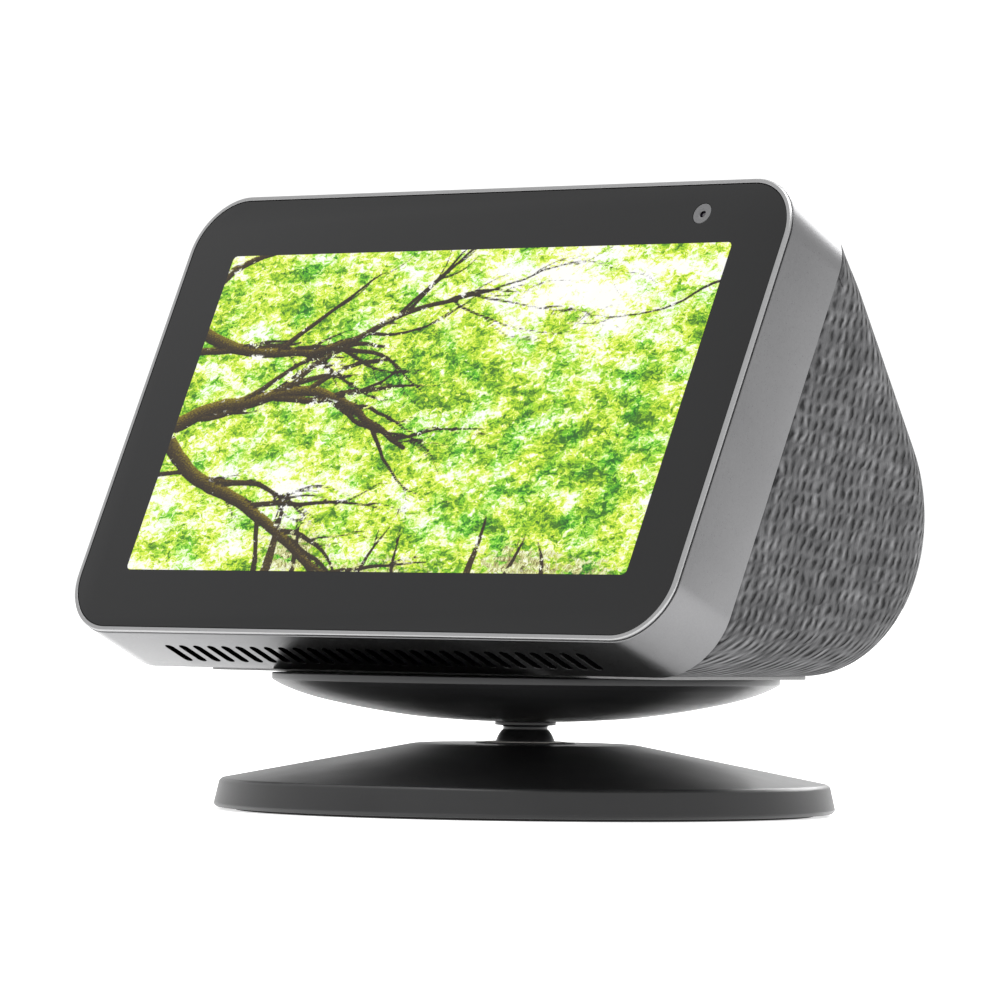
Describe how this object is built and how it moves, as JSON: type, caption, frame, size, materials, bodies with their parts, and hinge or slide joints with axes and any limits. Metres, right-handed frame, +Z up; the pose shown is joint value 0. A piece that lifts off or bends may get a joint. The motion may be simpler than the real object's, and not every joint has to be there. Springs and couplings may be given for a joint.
{
  "type": "smart speaker with display",
  "caption": "Small smart display with a fabric wedge back, camera shutter and top buttons, on a round stand that tilts and swivels on a ball joint.",
  "frame": {"origin": "centre of the stand's underside, on the surface it stands on", "axes": "+X to the viewer's right along the screen's width, +Y away from the viewer, +Z up"},
  "size_m": [0.148, 0.1138, 0.1138],
  "materials": {
    "frame_band": "satin grey, finely textured",
    "cover_glass": "dark border, low reflection coat",
    "lcd_panel": "satin",
    "dull_steel": "zinc plated, dull",
    "aluminium": "satin sheet",
    "circuit_board": "solder mask",
    "bright_steel": "plated",
    "camera_ring": "satin",
    "lens_glass": "coated",
    "dark_plastic": "satin",
    "button_plastic": "satin",
    "fabric": "mottled grey knit",
    "surround_rubber": "soft",
    "cone_paper": "pressed pulp",
    "stand_black": "satin black",
    "foot_pad": "matt light grey",
    "nylon": "natural",
    "cast_weight": "as cast",
    "rubber": "soft, non-slip"
  },
  "bodies": {
    "base": {"base_shell": "stand_black", "ballast_disc": "cast_weight", "bottom_cover": "dark_plastic", "rubber_ring": "rubber", "retaining_collar": "dark_plastic", "collar_screw_1": "bright_steel", "collar_screw_2": "bright_steel", "collar_screw_3": "bright_steel", "cover_screw_1": "bright_steel", "cover_screw_2": "bright_steel", "cover_screw_3": "bright_steel", "wave_spring": "bright_steel"},
    "seat": {"ball_seat": "nylon"},
    "ball": {"ball_stem": "stand_black", "pivot_screw": "bright_steel", "pivot_washer": "nylon"},
    "display": {"front_frame": "frame_band", "cover_glass": "cover_glass", "lcd_panel": "lcd_panel", "mid_tray": "dull_steel", "heat_spreader": "aluminium", "main_board": "circuit_board", "board_screw_1": "bright_steel", "board_screw_2": "bright_steel", "board_screw_3": "bright_steel", "board_screw_4": "bright_steel", "processor_shield": "bright_steel", "radio_shield": "bright_steel", "camera_ring": "camera_ring", "camera_lens": "lens_glass", "camera_module": "dark_plastic", "button_board": "circuit_board", "fabric_cover": "fabric", "rear_shell": "dark_plastic", "speaker_baffle": "dark_plastic", "speaker_basket": "dull_steel", "speaker_magnet": "dull_steel", "speaker_surround": "surround_rubber", "port_panel": "dark_plastic", "power_socket": "dark_plastic", "audio_socket": "bright_steel", "service_socket": "bright_steel", "port_board": "circuit_board", "tray_bowl": "stand_black", "tray_lid": "stand_black", "tray_magnet_1": "bright_steel", "tray_magnet_2": "bright_steel", "tray_magnet_3": "bright_steel", "tray_magnet_4": "bright_steel", "foot_pad": "foot_pad"},
    "shutter": {"shutter_slider": "button_plastic"},
    "mic_key": {"mic_button": "button_plastic"},
    "volume_down_key": {"volume_down_button": "button_plastic"},
    "volume_up_key": {"volume_up_button": "button_plastic"},
    "cone": {"speaker_cone": "cone_paper"}
  },
  "joints": [
    {"name": "seat_swivel", "type": "hinge", "parent": "base", "child": "seat", "pos_m": [0, 0, 0.01145], "axis": [0, 0, 1], "continuous": true},
    {"name": "stand_tilt", "type": "hinge", "parent": "seat", "child": "ball", "pos_m": [0, 0, 0.01145], "axis": [1, 0, 0], "range_deg": [-12, 12]},
    {"name": "display_spin", "type": "hinge", "parent": "ball", "child": "display", "pos_m": [0, 0, 0.0168], "axis": [0, 0, 1], "continuous": true},
    {"name": "shutter_slide", "type": "slide", "parent": "display", "child": "shutter", "axis": [1, 0, 0], "range_m": [0, 0.006]},
    {"name": "mic_press", "type": "slide", "parent": "display", "child": "mic_key", "axis": [0, -0.4204, -0.9073], "range_m": [0, 0.0004], "stiffness_N_per_m": 800},
    {"name": "volume_down_press", "type": "slide", "parent": "display", "child": "volume_down_key", "axis": [0, -0.4204, -0.9073], "range_m": [0, 0.0004], "stiffness_N_per_m": 800},
    {"name": "volume_up_press", "type": "slide", "parent": "display", "child": "volume_up_key", "axis": [0, -0.4204, -0.9073], "range_m": [0, 0.0004], "stiffness_N_per_m": 800},
    {"name": "cone_stroke", "type": "slide", "parent": "display", "child": "cone", "axis": [0, 1, 0], "range_m": [-0.001, 0.001], "stiffness_N_per_m": 1500}
  ]
}
